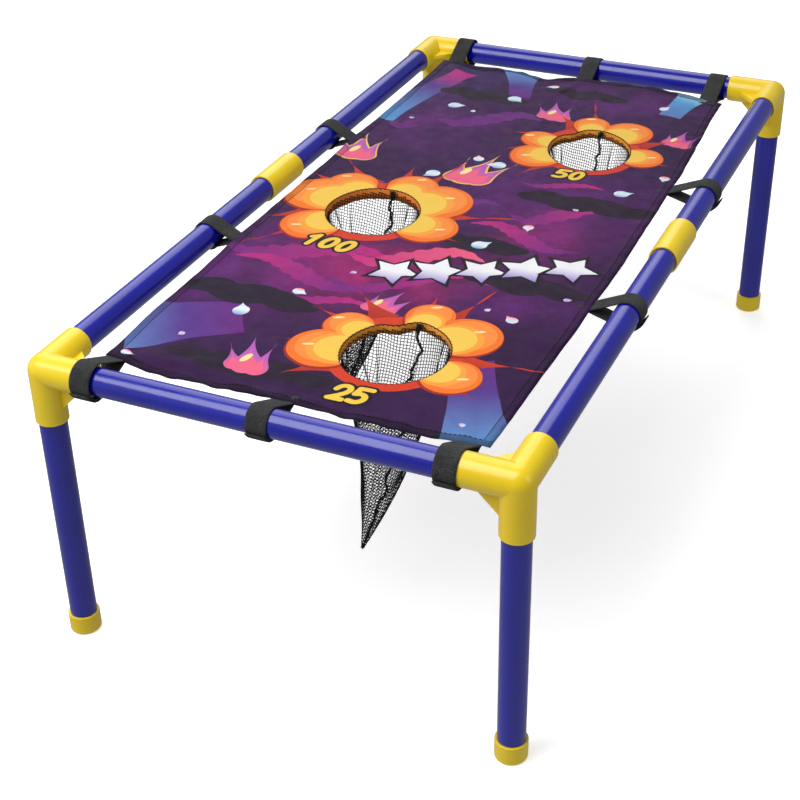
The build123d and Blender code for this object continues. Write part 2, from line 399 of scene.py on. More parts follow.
def drape(x, y):
    """Where the cloth point cut at (x, y) hangs, all in millimetres."""
    from_left, from_right, from_front, from_rear = x - LOW_X, HIGH_X - x, y - LOW_Y, HIGH_Y - y
    held = min(sum(bell(hypot(x - rx, y - ry), 30.0) for rx, ry in ROOTS), 1.0)
    free = 1 - held
    edge = min(from_left, from_right, from_front, from_rear)

    move_x = (5.0 * ramp((-290 - y) / 90) * bell(from_left, 70.0) - 1.5 * bell(from_left, 25.0) * bell(y, 140.0)
              + (3.5 * bell(y + 110, 160.0) - 10.0 * ramp((y - 130) / 240)) * bell(from_right, 60.0))
    move_y = ((8.0 * ramp((-146 - x) / 38) + 2.5 * ramp((x - 150) / 25)) * bell(from_front, 30.0)
              + (3.0 * bell(x - 62, 48.0) - 13.0 * bell(x + 52, 24.0) - 2.0 * ramp((-90 - x) / 60)
                 - 15.0 * ramp((x - 112) / 55)) * bell(from_rear, 34.0))
    ruffle = noise.noise(Vector((x / 17.0, y / 17.0, 1.3)))
    move_x += 1.3 * ruffle * (bell(from_left, 14.0) + bell(from_right, 14.0)) * free
    move_y += 2.0 * ruffle * (bell(from_front, 14.0) + bell(from_rear, 14.0)) * free

    for notch_x, notch_y, pull_x, pull_y in NOTCHES:
        near = bell(hypot(x - notch_x, y - notch_y), 12.0)
        move_x += pull_x * near
        move_y += pull_y * near

    u = min(max(from_left / (HIGH_X - LOW_X), 0), 1)
    v = min(max(from_front / (HIGH_Y - LOW_Y), 0), 1)
    z = -SAG_MM * sin(pi * u) * sin(pi * v) ** 0.6
    z += free * (-2.2 * bell(edge, 24.0) + 1.8 * ruffle * bell(edge, 16.0)
                 + 2.0 * bell(from_rear, 20.0) * bell(x - 62, 50.0))
    z += crease_height(x, y)
    z += free * (1.0 * noise.noise(Vector((x / 75.0, y / 110.0, 3.7)))
                 + 0.45 * noise.noise(Vector((x / 24.0, y / 34.0, 9.1))))
    if edge < HEM_MM:
        z += 0.55 * sin(pi * max(edge, 0) / HEM_MM)
    return x + move_x, y + move_y, RAIL_Z / MM + z


# ---- the print ----
INK = {"black": (20, 15, 27), "plum": (56, 21, 74), "deep": (36, 14, 50), "violet": (110, 38, 128),
       "magenta": (196, 40, 128), "pink": (244, 104, 136), "lilac": (184, 96, 188), "lavender": (146, 118, 206),
       "red": (216, 62, 34), "orange": (250, 122, 40), "amber": (254, 166, 62), "yellow": (250, 204, 84),
       "cream": (254, 232, 160), "white": (246, 246, 250), "ice": (176, 226, 250), "sky": (86, 160, 214),
       "blue": (84, 92, 190), "rust": (164, 42, 34), "shadow": (38, 24, 46), "gold": (248, 206, 74),
       "peel": (255, 146, 66), "dusk": (88, 58, 142), "steel": (98, 128, 190)}


def ink_colour(name):
    return np.array(linear(*INK[name])[:3])


ARC_STEP_MM = 3.5         # spacing of the points on an outline's arcs


def turned(x, y, a, b, turn):
    """The place a to the right of (x, y) and b above it, with both directions turned by turn degrees."""
    c, s = cos(radians(turn)), sin(radians(turn))
    return x + a * c - b * s, y + a * s + b * c


def toward(x, y, far, angle):
    return x + far * cos(angle), y + far * sin(angle)


def ellipse(x, y, rx, ry, turn=0.0):
    return [turned(x, y, a, b, turn) for a, b in circle(max(16, int((rx + ry) * 1.1)), rx, ry)]


def left_of(ax, ay, bx, by):
    """The length of the way from a to b, and the unit vector to its left."""
    length = hypot(bx - ax, by - ay)
    return length, -(by - ay) / length, (bx - ax) / length


def bowed(start, end, bow):
    """Points from start up to, but not with, end, on an arc that bows to the left by bow of its length."""
    ax, ay = start
    bx, by = end
    length, nx, ny = left_of(ax, ay, bx, by)
    count = max(1, int(length / ARC_STEP_MM))
    out = []
    for k in range(count):
        t = k / count
        rise = 4 * t * (1 - t) * bow * length
        out.append((ax + (bx - ax) * t + nx * rise, ay + (by - ay) * t + ny * rise))
    return out


def cartoon(*corners):
    """A closed outline of bowed sides. A corner is (x, y, bow), and bow is that of the side that leaves it."""
    out = []
    for k, (x, y, bow) in enumerate(corners):
        nx, ny, _ = corners[(k + 1) % len(corners)]
        out += bowed((x, y), (nx, ny), bow)
    return out


def spike(root_x, root_y, tip_x, tip_y, width):
    """A thorn with hollow sides."""
    _, nx, ny = left_of(root_x, root_y, tip_x, tip_y)
    return cartoon((root_x - nx * width / 2, root_y - ny * width / 2, 0.09), (tip_x, tip_y, 0.09),
                   (root_x + nx * width / 2, root_y + ny * width / 2, 0.0))


def drop(x, y, radius, tip_angle, tip):
    """A round blob drawn out to a point."""
    t, spread = radians(tip_angle), radians(58)
    point = toward(x, y, tip, t)
    count = max(10, int(radius * 1.6))
    turn = 2 * pi - 2 * spread
    back = [toward(x, y, radius, t + spread + turn * k / count) for k in range(count)]
    return bowed(toward(x, y, radius, t - spread), point, 0.08) + bowed(point, back[0], 0.08) + back


def star(x, y, outer, inner, turn):
    ring = []
    for k in range(10):
        ring.append((*toward(x, y, inner if k % 2 else outer, radians(turn) + pi * k / 5), 0.0))
    return cartoon(*ring)


def both_sides(path, half_width):
    """The lines half_width(k) to the left and to the right of a path at its point k."""
    left, right = [], []
    for k, (x, y) in enumerate(path):
        _, nx, ny = left_of(*path[max(k - 1, 0)], *path[min(k + 1, len(path) - 1)])
        half = half_width(k)
        left.append((x + nx * half, y + ny * half))
        right.append((x - nx * half, y - ny * half))
    return left, right


def stroke(path, width):
    """The outline of a broad pen stroke with round ends."""
    half = width / 2
    left, right = both_sides(path, lambda k: half)

    def cap(centre, start):
        a = atan2(start[1] - centre[1], start[0] - centre[0])
        return [toward(*centre, half, a - pi * k / 6) for k in range(1, 6)]

    return left + cap(path[-1], left[-1]) + right[::-1] + cap(path[0], right[0])


def smooth_line(places):
    """A Catmull-Rom curve through places, as closely spaced points."""
    pieces = 9
    ends = [places[0], *places, places[-1]]
    out = []
    for p0, p1, p2, p3 in zip(ends, ends[1:], ends[2:], ends[3:]):
        for k in range(pieces):
            t = k / pieces
            out.append(tuple(0.5 * (2 * b + (c - a) * t + (2 * a - 5 * b + 4 * c - d) * t * t
                                    + (3 * b - a - 3 * c + d) * t ** 3) for a, b, c, d in zip(p0, p1, p2, p3)))
    return out + [places[-1]]


def wisp(places, width):
    """A curl of smoke: a band along a curve that starts and ends in a point."""
    line = smooth_line(places)

    def half_width(k):
        swell = sin(pi * (k / (len(line) - 1)))
        return width / 2 * swell * (1 + 0.18 * sin(k * 1.7))

    left, right = both_sides(line, half_width)
    return left + right[-2:0:-1]


def bank(p, x, y, width, height, ink):
    """A low bank of cloud: round billows side by side, highest in the middle."""
    count = max(4, round(width / height * 2.2))
    for k in range(count):
        across = (k + 0.5) / count - 0.5
        radius = height * (0.34 + 0.30 * cos(pi * across) + 0.07 * sin(2.3 * k))
        p.fill(ellipse(x + across * width, y + 0.12 * height * sin(1.7 * k), radius * 1.25, radius * 0.8), ink,
               cloud=0.5)


def half_oval(x, y, rx, ry):
    return [(x + rx * sin(pi * k / 10), y + ry * cos(pi * k / 10)) for k in range(11)]


# The strokes of each figure, in a box one high and about one wide.
DIGITS = {"0": [half_oval(0.5, 0.5, -0.28, 0.42), half_oval(0.5, 0.5, 0.28, 0.42)],
          "1": [[(0.28, 0.72), (0.44, 0.82), (0.55, 0.93)], [(0.55, 0.93), (0.55, 0.5), (0.55, 0.07)]],
          "2": [[(0.5 - 0.30 * cos(pi * k / 10), 0.66 + 0.27 * sin(pi * k / 10)) for k in range(11)]
                + [(0.74, 0.50), (0.54, 0.30), (0.22, 0.08)], [(0.2, 0.08), (0.5, 0.08), (0.82, 0.08)]],
          "5": [[(0.80, 0.92), (0.5, 0.92), (0.24, 0.92)], [(0.26, 0.92), (0.25, 0.74), (0.23, 0.54)],
                [(0.23, 0.54), *half_oval(0.46, 0.33, 0.33, 0.26), (0.2, 0.11)]]}


class Print:
    """The picture on the cloth: flat or graded shapes in millimetres, later ones on top."""

    def __init__(self):
        self.shapes = []

    def fill(self, outline, *inks, start=None, end=None, cloud=0.0):
        """Colour an outline with one ink, or with several graded from start to end."""
        colours = [ink_colour(ink) for ink in inks]
        if start is None:
            xs, ys = zip(*outline)
            start, end = (sum(xs) / len(xs), max(ys)), (sum(xs) / len(xs), min(ys))
        self.shapes.append((np.array(outline), colours, np.array(start, float), np.array(end, float), cloud))

    def colour(self, index, x, y):
        _, colours, start, end, cloud = self.shapes[index]
        if len(colours) == 1:
            return (*colours[0], cloud)
        way = end - start
        t = float(np.clip(np.dot((x, y) - start, way) / np.dot(way, way), 0, 1)) * (len(colours) - 1)
        k = min(int(t), len(colours) - 2)
        return (*(colours[k] + (colours[k + 1] - colours[k]) * (t - k)), cloud)

    def number(self, text, x, y, height, turn):
        """A score in fat rounded figures with a dark edge. (x, y) is the left end of its baseline."""
        pace = height * 0.74
        lean = 0.18
        for width, ink in ((height * 0.46, "black"), (height * 0.24, "gold")):
            for k, figure in enumerate(text):
                for path in DIGITS[figure]:
                    line = [turned(x, y, k * pace + (a * 0.82 + b * lean) * height, b * height, turn)
                            for a, b in path]
                    self.fill(stroke(line, width), ink)


def paint():
    """The whole picture, from the back to the front."""
    p = Print()
    beams(p)
    smoke(p)
    flames(p)
    burst(p, "100", 50, 10, 6)
    burst(p, "50", 38, 8, 5)
    burst(p, "25", 42, 9, 5)
    droplets(p)
    stars(p)
    p.number("25", 22, -371, 24, 2)
    p.number("100", -128, -127, 25, -3)
    p.number("50", 50, 110, 22, 2)
    return p


def beams(p):
    """Spreading beams of soft light that come in from the borders: (x, y, turn, length, near and far width)."""
    for x, y, turn, length, near, far, inks in (
            (176, -410, 24, 150, 74, 40, ("sky", "steel", "dusk", "violet")),
            (-196, 196, -18, 170, 64, 34, ("sky", "steel", "dusk", "magenta")),
            (-84, 404, 196, 104, 58, 26, ("sky", "steel", "dusk", "violet")),
            (140, 404, 172, 92, 52, 30, ("ice", "sky", "steel")),
            (-200, -330, -62, 112, 96, 58, ("steel", "dusk", "violet"))):
        corners = ((-near / 2, 0), (near / 2, 0), (far / 2, length), (-far / 2, length))
        p.fill(cartoon(*((*turned(x, y, a, b, turn), 0.04) for a, b in corners)), *inks,
               start=(x, y), end=turned(x, y, 0, length, turn), cloud=0.35)


def smoke(p):
    """Long drifts of coloured smoke, and low dark banks of cloud between them."""
    for x, y, length, width, rise, inks in (
            (-110, -140, 170, 30, 14, ("violet", "magenta")), (-96, -182, 150, 22, -10, ("magenta", "violet")),
            (-6, -112, 130, 26, 16, ("magenta", "pink")), (8, -160, 150, 18, 20, ("violet", "magenta")),
            (96, 30, 110, 24, 18, ("violet", "magenta")), (74, -34, 120, 20, -12, ("magenta", "violet")),
            (70, 92, 90, 12, 6, ("violet", "magenta")), (-66, 232, 120, 26, 16, ("violet", "violet")),
            (-126, 216, 90, 22, 26, ("violet", "plum")), (-10, 14, 80, 14, 10, ("violet", "violet")),
            (-60, -226, 120, 14, 8, ("violet", "magenta"))):
        places = [(x + length * t, y + rise * 2 * t + rise * sin(2 * pi * t))
                  for t in (-0.5, -0.25, 0.0, 0.25, 0.5)]
        p.fill(wisp(places, width), *inks, start=places[0], end=places[-1], cloud=0.6)
    for x, y, width, height in (
            (-118, -238, 128, 34), (-60, -352, 150, 26), (108, 58, 130, 32), (36, -62, 96, 28),
            (112, -128, 110, 30), (-96, 296, 96, 28), (18, 340, 90, 24)):
        bank(p, x, y, width, height, "shadow")


def flame(p, x, y, size, lean, edge=None):
    """A comic flame: a tall tongue with two short ones at its foot, and a brighter heart."""
    glow = ((1.14, (edge,)),) if edge else ()
    for grow, inks in glow + ((1.0, ("lilac", "lilac", "pink")), (0.58, ("pink",))):
        for side, share in ((-1, 0.62), (1, 0.74), (0, 1.0)):
            angle = 90 + lean - 15 * side
            p.fill(drop(x + 0.42 * size * side, y - 0.12 * size * abs(side), 0.56 * size * share * grow, angle,
                        (1.9 * share + 0.25 * abs(side)) * size * grow), *inks)
    p.fill(ellipse(x - 0.2 * size, y + 0.35 * size, 0.13 * size, 0.3 * size, -16), "cream")


def flames(p):
    """Flames scattered between the bursts."""
    for x, y, size, lean, edge in (
            (-166, 92, 28, 10, "yellow"), (-30, 80, 32, -12, "yellow"), (0, 268, 25, 14, None),
            (154, 244, 22, -8, None), (2, -214, 22, -16, None), (-60, -350, 26, 18, None)):
        flame(p, x, y, size, lean, edge)


def burst(p, score, reach, thorns, lobes):
    """A comic burst round a hole, open below for its number: red thorns, then orange lobes, yellow by the rim."""
    def around(k, count):
        return radians(-48 + 276 * (k + 0.5 + 0.16 * sin(2.7 * k)) / count)

    for k in range(thorns):
        length = reach * (1.3 + 0.5 * (k % 2) + 0.3 * sin(2.4 * k))
        p.fill(spike(*on_oval(score, around(k, thorns), grow=0.2 * reach),
                     *on_oval(score, around(k, thorns) + 0.08, grow=length), 0.8 * reach), "red", "rust")
    p.fill(hole_outline(score, 0.26 * reach), "red")
    for ink, out, wide, lift in (
            ("rust", 0.33, 0.66, -2.0), ("orange", 0.34, 0.63, 0.0), ("peel", 0.36, 0.50, 2.5),
            ("amber", 0.10, 0.50, 0.0), ("yellow", 0.04, 0.42, 1.0)):
        for k in range(lobes):
            radius = reach * wide * (1 + 0.24 * sin(1.9 * k))
            x, y = on_oval(score, around(k, lobes), grow=out * reach)
            p.fill(ellipse(x, y + lift, radius, radius), ink)
    for k in range(lobes):
        x, y = on_oval(score, around(k, lobes), grow=0.66 * reach)
        p.fill(ellipse(x - 2, y + 4, 5.5, 1.8, 24), "cream")


DROPS_CLEAR_MM = 104


def droplets(p):
    """Glossy drops scattered evenly over the cloth, clear of the bursts."""
    gloss = (("pink", "white", "ice"), ("ice", "white", "sky"), ("lavender", "white", "lilac"))
    for k in range(34):   # two irrational steps scatter the drops without clumps
        x, y = -172 + 344 * (k * 0.618034 % 1), -376 + 752 * (k * 0.414214 % 1)
        if all(hypot(x - spot.x / MM, y - spot.y / MM) > DROPS_CLEAR_MM for spot in HOLES.values()):
            size = 5.5 + 3.0 * sin(2.1 * k)
            p.fill(drop(x, y, size, 47 * k % 360, 1.7 * size), *gloss[k % 3])


def stars(p):
    """A rising row of comic stars in white with a heavy black edge."""
    for k in range(5):
        x, y = -14 + 38 * k, -146 + 16 * k
        size = 25 + 2.0 * (k % 2)
        for grow, inks in ((5.0, ("black",)), (0.0, ("white", "white", "lavender"))):
            p.fill(star(x, y, size + 1.7 * grow, (size + grow) * 0.52, 76 + 16 * (k % 2)), *inks)


def dye(x, y):
    """The picture's ground: dark plum with drifts of violet, magenta and blue."""
    colour = ink_colour("plum")
    for cx, cy, rx, ry, ink, share in (
            (-140, -190, 80, 90, "violet", 0.8), (-60, -150, 70, 60, "magenta", 0.6),
            (10, -160, 70, 50, "magenta", 0.4), (100, 20, 60, 80, "violet", 0.9),
            (90, -20, 40, 60, "magenta", 0.35), (60, 330, 110, 50, "violet", 0.6),
            (-110, 210, 70, 80, "violet", 0.65), (-150, 330, 50, 60, "blue", 0.25),
            (140, -230, 50, 60, "deep", 0.6), (-60, 290, 50, 50, "deep", 0.7),
            (-40, -360, 90, 30, "deep", 0.5), (120, -160, 60, 40, "violet", 0.7),
            (0, 20, 50, 60, "violet", 0.45), (60, 100, 80, 40, "violet", 0.45),
            (150, 330, 40, 50, "deep", 0.5)):
        weight = share * exp(-((x - cx) / rx) ** 2 - ((y - cy) / ry) ** 2)
        weight *= 0.75 + 0.9 * noise.noise(Vector((x / 38.0, y / 52.0, cx)))
        colour += (ink_colour(ink) - colour) * min(max(weight, 0), 1)
    return (*colour, 1.0)


# ---- the printed cloth ----
def inside(outline, x, y):
    """Which of the points lie inside a closed outline."""
    hit = np.zeros(len(x), bool)
    for (x0, y0), (x1, y1) in zip(outline, np.roll(outline, -1, 0)):
        if y0 != y1:
            hit ^= ((y0 > y) != (y1 > y)) & (x < (x1 - x0) * (y - y0) / (y1 - y0) + x0)
    return hit


def on_oval(score, angle, size=1.0, grow=0.0):
    """A point on the oval of a hole, scaled by size and grown by grow millimetres, at angle in its own frame."""
    wide, long, tilt = OVAL[score]
    spot = HOLES[score]
    across, up = (wide * size + grow) * cos(angle), (long * size + grow) * sin(angle)
    return turned(spot.x / MM, spot.y / MM, across, up, tilt)


def hole_outline(score, grow=0.0):
    wide, long, tilt = OVAL[score]
    return ellipse(HOLES[score].x / MM, HOLES[score].y / MM, wide + grow, long + grow, tilt)


def cut_cloth(picture):
    """Flat triangles of the cloth, cut along the print's outlines, the hem and the holes. Millimetres."""
    points, edges, busy = [], [], set()

    def loop(outline):
        base = len(points)
        points.extend(Vector(p) for p in outline)
        edges.extend((base + k, base + (k + 1) % len(outline)) for k in range(len(outline)))
        busy.update((int(p[0] // CELL_MM), int(p[1] // CELL_MM)) for p in outline)

    for inset in (0.0, HEM_MM / 2, HEM_MM):
        loop(cartoon(*((x, y, 0.0) for x, y in hem_corners(inset))))
    for score in HOLES:
        for grow in (0.0, RING_MM):
            loop(hole_outline(score, grow))
    for outline, *_ in picture.shapes:
        loop([tuple(p) for p in outline])
    for i in range(1, int((HIGH_X - LOW_X) / GRID_MM)):
        for j in range(1, int((HIGH_Y - LOW_Y) / GRID_MM)):
            x, y = LOW_X + i * GRID_MM, LOW_Y + j * GRID_MM
            if (int(x // CELL_MM), int(y // CELL_MM)) not in busy:
                points.append(Vector((x, y)))
    out, _, faces, *_ = delaunay_2d_cdt(points, edges, [], 0, 0.02)
    flat = np.array([(v.x, v.y) for v in out])
    faces = np.array([f for f in faces if len(f) == 3])
    centre = flat[faces].mean(1)
    x, y = centre.T
    keep = (x > LOW_X) & (x < HIGH_X) & (y > LOW_Y) & (y < HIGH_Y)
    for score in HOLES:
        keep &= ~inside(np.array(hole_outline(score)), x, y)
    return flat, faces[keep], centre[keep]


def hem_corners(inset):
    x0, y0, x1, y1 = LOW_X + inset, LOW_Y + inset, HIGH_X - inset, HIGH_Y - inset
    return (x0, y0), (x1, y0), (x1, y1), (x0, y1)


def cloth(front, back):
    """The whole printed cloth with its turned-down hole hems, as one sheet. Later shapes of the print hide
    earlier ones, and painted shade darkens the outer hem band, most at the two ends."""
    picture = paint()
    flat, faces, centre = cut_cloth(picture)
    owner = np.full(len(faces), -1)
    for index in range(len(picture.shapes) - 1, -1, -1):
        outline = picture.shapes[index][0]
        near = ((centre >= outline.min(0)) & (centre <= outline.max(0))).all(1)
        open_ = np.flatnonzero((owner < 0) & near)
        owner[open_[inside(outline, *centre[open_].T)]] = index
    used = np.unique(faces)
    renumber = np.full(len(flat), -1)
    renumber[used] = np.arange(len(used))
    faces, flat = renumber[faces], flat[used]
    points = [Vector(drape(*p)) * MM for p in flat]
    ground = cache(dye)
    colours = []
    for face, index, (mx, my) in zip(faces, owner, centre):
        end_gap, side_gap = min(my - LOW_Y, HIGH_Y - my), min(mx - LOW_X, HIGH_X - mx)
        # Painted shade: faces in the outer hem band are darkened, to 0.4 at the two ends and 0.72 at the sides.
        shade = 0.4 if end_gap < HEM_MM else 0.72 if side_gap < HEM_MM else 1.0
        inks = [picture.colour(index, *flat[v]) if index >= 0 else ground(*flat[v]) for v in face]
        colours.append([(red * shade, green * shade, blue * shade, cloud) for red, green, blue, cloud in inks])
    faces = faces.tolist()
    for score in HOLES:
        turn_down(score, points, faces, colours, flat)
    obj = piece("printed_cloth", points, faces, (front, back))
    layer = obj.data.color_attributes.new("print", "FLOAT_COLOR", "CORNER")
    layer.data.foreach_set("color", np.array([c for face in colours for c in face], np.float32).ravel())
    thick = obj.modifiers.new("thickness", "SOLIDIFY")
    thick.thickness = CLOTH_T_MM * MM
    thick.offset = -1.0
    thick.material_offset = 1
    thick.material_offset_rim = 0
    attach(obj, "frame")
    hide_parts("target_sheet")


def turn_down(score, points, faces, colours, flat):
    """Fold the cloth down round one hole, carrying the print over the fold."""
    x, y = HOLES[score].xy / MM
    wide, long, tilt = OVAL[score]
    c, s = cos(radians(tilt)), sin(radians(tilt))
    across, up = flat[:, 0] - x, flat[:, 1] - y
    share = np.hypot((across * c + up * s) / wide, (up * c - across * s) / long)
    rim = np.flatnonzero(abs(share - 1) < 0.001).tolist()
    edge_colour = {v: shade for face, shades in zip(faces, colours) for v, shade in zip(face, shades)}
    rim.sort(key=lambda v: atan2(flat[v][1] - y, flat[v][0] - x))
    lip = LIP_MM[score]
    fold = ((0.35, 0.12), (0.7, 0.5), (0.9, 1.2), (1.0, lip * 0.5), (1.1, lip))   # inward, down, in mm
    inner = (*ink_colour(LIP_INK[score]), 0.0)
    rings = [rim]
    for inward, down in fold:
        ring = []
        for v in rim:
            way = Vector((x - flat[v][0], y - flat[v][1], 0)).normalized()
            frill = 0.5 * sin(9 * atan2(way.y, way.x)) * down / lip
            ring.append(len(points))
            points.append(points[v] + way * (inward + frill) * MM - Vector((0, 0, down * MM)))
        rings.append(ring)
    for upper, lower in zip(rings, rings[1:]):
        for k in range(len(rim)):
            after = (k + 1) % len(rim)
            faces.append((upper[k], upper[after], lower[after], lower[k]))
            top = [edge_colour[rim[k]], edge_colour[rim[after]]] if upper is rim else [inner] * 2
            colours.append(top + [inner] * 2)


def run_of_stitches(route):
    """Short threads laid end to end along a flat route (millimetres) on top of the cloth."""
    parts = []
    for k in range(len(route)):
        (ax, ay), (bx, by) = route[k], route[(k + 1) % len(route)]
        length = hypot(bx - ax, by - ay)
        count = max(1, round(length / (STITCH_MM + STITCH_GAP_MM)))
        for j in range(count):
            line = []
            for t, lift in ((0.0, -0.25), (0.2, 0.2), (0.5, 0.3), (0.8, 0.2), (1.0, -0.25)):
                s = (j + t * STITCH_MM / (STITCH_MM + STITCH_GAP_MM)) / count
                x, y, z = drape(ax + (bx - ax) * s, ay + (by - ay) * s)
                line.append(Vector((x, y, z + lift)) * MM)
            parts.append(thread(line, STITCH_R_MM * MM, 5))
    return parts


def stitching(material):
    """The hem's stitch line and the dark binding round each hole."""
    sewn = [piece("hem_stitches", *join(run_of_stitches(hem_corners(HEM_MM))), (material,))]
    for score in HOLES:
        line = []
        for k in range(401):
            t = 2 * pi * k / 400
            x, y, z = drape(*on_oval(score, t, grow=0.35 * sin(BINDING_TURNS * t) - 0.4))
            line.append(Vector((x, y, z - 0.35 + 0.2 * cos(BINDING_TURNS * t))) * MM)
        sewn.append(piece(f"hole_binding_{score}", *thread(line, BINDING_R_MM * MM, 6), (material,)))
    for obj in sewn:
        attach(obj, "frame")


# ---- nets ----
MOUTH_R_MM = 50.0                              # mean radius of the pouch's mouth
SLANT_MM = hypot(NET_DROP_MM, MOUTH_R_MM)
FAN = 2 * pi * MOUTH_R_MM / SLANT_MM           # angle of the flat fan that the pouch is sewn from
SEAM_LAP_MM = {"25": 1.0, "50": 1.0, "100": 4.0}   # the net beyond the seam, on each side
NET_TOP_MM = 3.0                               # the net starts this far below the fold of the lip
NET_TIP_MM = 6.0                               # the fan starts this far from its point
STRAND_R_MM, ZIGZAG_R_MM, BUNCH_R_MM = 0.75, 0.34, 0.6   # threads of the seam
ZIGZAG_MM = 2.1                                # the zigzag reaches this far to each side
DENT_MM, RIPPLE_MM, FOLD_MM = 3.4, 1.2, 5.0    # how far the slack net strays from a cone
FOLDS_AT = (radians(152), radians(28), radians(128))   # soft folds down the pouch
SEAM_AT = radians(89)                          # the seam meets the rim here, counted from +X


def on_pouch(score, reach, turn, inward=0.0):
    """A point of the flat fan, (reach from its point, turn from its middle line), on the sewn pouch."""
    depth = NET_DROP_MM * (1 - reach / SLANT_MM)
    share = depth / NET_DROP_MM
    angle = turn / FAN * 2 * pi + SEAM_AT + pi - radians(OVAL[score][2])
    slack = sin(pi * min(share * 1.15, 1.0))
    seed = float(score)
    dent = DENT_MM * slack * noise.noise(Vector((cos(angle) * 1.3, sin(angle) * 1.3, depth / 60 + seed)))
    dent += RIPPLE_MM * slack * cos(5 * angle + depth / 30 + seed)
    for fold in FOLDS_AT:
        off = (angle - fold - 0.25 * sin(depth / 45 + fold * 3) + pi) % (2 * pi) - pi
        dent -= FOLD_MM * min(share * 8, 1.0) * (1 - share) * bell(off, 0.085)
    rim = on_oval(score, angle, grow=-MOUTH_MM)
    held = drape(*rim)
    near = max(1 - share * 5, 0)
    x, y = on_oval(score, angle, reach / SLANT_MM, dent - inward - MOUTH_MM * reach / SLANT_MM)
    z = held[2] * (1 - share) + (RAIL_Z / MM) * share - depth - 0.4
    return Vector((x + (held[0] - rim[0]) * near + NET_LEAN_MM * share ** NET_LEAN_POWER,
                   y + (held[1] - rim[1]) * near, z)) * MM


def net_threads():
    """The threads of the flat net over the fan, as pairs of (x, y) with the fan's point at the origin."""
    pitch = NET_SLOPE_MM + NET_KNOT_MM
    columns = int(SLANT_MM * sin(FAN / 2) / NET_WIDE_MM) + 2
    for row in range(int(SLANT_MM / pitch) + 2):
        for column in range(-columns, columns + 1):
            x, y = (column + 0.5 * (row % 2)) * NET_WIDE_MM, row * pitch
            knot = (x, y + NET_KNOT_MM)
            yield (x, y), knot
            yield knot, (x - NET_WIDE_MM / 2, y + pitch)
            yield knot, (x + NET_WIDE_MM / 2, y + pitch)


def net(score, material):
    """A pouch of knitted net: real threads, rolled from a flat fan and sewn up at the far side."""
    half = FAN / 2
    points, faces = [], []
    ring = circle(3)
    for ends in net_threads():
        polar = [(hypot(x, y), atan2(x, y)) for x, y in ends]
        if any(abs(turn) > half + SEAM_LAP_MM[score] / max(reach, 1)
               or not NET_TIP_MM < reach < SLANT_MM - NET_TOP_MM for reach, turn in polar):
            continue
        a, b = (on_pouch(score, min(reach, SLANT_MM), turn) for reach, turn in polar)
        way = (b - a).normalized()
        side = way.orthogonal().normalized()
        up = way.cross(side)
        base = len(points)
        for end in (a - way * 0.1 * MM, b + way * 0.1 * MM):
            points += [end + (side * c + up * s) * YARN_R_MM * MM for c, s in ring]
        faces += [(base + k, base + (k + 1) % 3, base + 3 + (k + 1) % 3, base + 3 + k) for k in range(3)]
    pouch = piece(f"net_pouch_{score}", points, faces, (material,))
    seam = piece(f"net_seam_{score}", *join(seam_threads(score, half)), (material,))
    for part in (pouch, seam):
        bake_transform(part)
    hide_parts(f"net_{score}")


def seam_threads(score, half):
    """The overlock seam down the far side: two twisted strands with a zigzag over them and a bunch at the rim."""
    count = 170
    line = []
    for k in range(count + 1):
        drift = noise.noise(Vector((k / 11.0, float(score), 0.5))) + 0.5 * noise.noise(Vector((k / 4.0, 3.1, 0.7)))
        line.append(on_pouch(score, SLANT_MM + (NET_TIP_MM - SLANT_MM) * k / count,
                             half + 0.07 * drift * sin(pi * k / count) ** 0.6, 1.5))
    parts = [thread([p + Vector((0.9 * cos(k * 0.9 + phase), 0, 0.6 * sin(k * 0.9 + phase))) * MM
                     for k, p in enumerate(line)], STRAND_R_MM * MM, 5) for phase in (0, pi)]
    zigzag = [p + Vector(((ZIGZAG_MM if k % 2 else -ZIGZAG_MM) * MM, 0, 0)) for k, p in enumerate(line)]
    parts.append(thread(zigzag, ZIGZAG_R_MM * MM, 4))
    for k in range(5):
        x = (k - 2) * 1.5
        bunch = [line[j] + Vector((x * (1 - j / 9), -0.6, 0)) * MM for j in range(0, 8, 2)]
        parts.append(thread(bunch, BUNCH_R_MM * MM, 5))
    return parts


# ---- straps ----
def band_section(width, thickness):
    """The section of webbing: flat, a little thinner towards its rounded edges."""
    half, rise = width / 2, thickness / 2
    top = [(-half + width * k / 8, rise * (0.94 if 0 < k < 8 else 0.8)) for k in range(9)]
    bottom = [(x, -y) for x, y in reversed(top)]
    side = half + rise * 0.6
    return [*top, (side, 0.0), *bottom, (-side, 0.0)]


def strap_route(core, reach, edge_up, inner_up, thickness):
    """A strap's middle line in its own plane: x towards the cloth from the bar's axis, y up. Millimetres.
    reach is the cloth's edge, which hangs edge_up above the axis; the strap's sewn-in end is inner_up above it."""
    r = core + thickness / 2 + 0.15
    lean = acos(r / reach)
    under = -CLOTH_T_MM - thickness * 0.55
    ends = [(reach + STRAP_LAP_MM, inner_up + under), (reach + 1.5, edge_up + under)]
    steps = 32
    turn = [-lean - (2 * pi - 2 * lean) * k / steps for k in range(steps + 1)]
    around = [(r * cos(a), r * sin(a)) for a in turn]
    lower = [(x, y - thickness) for x, y in ends]
    return lower + around + ends[::-1]


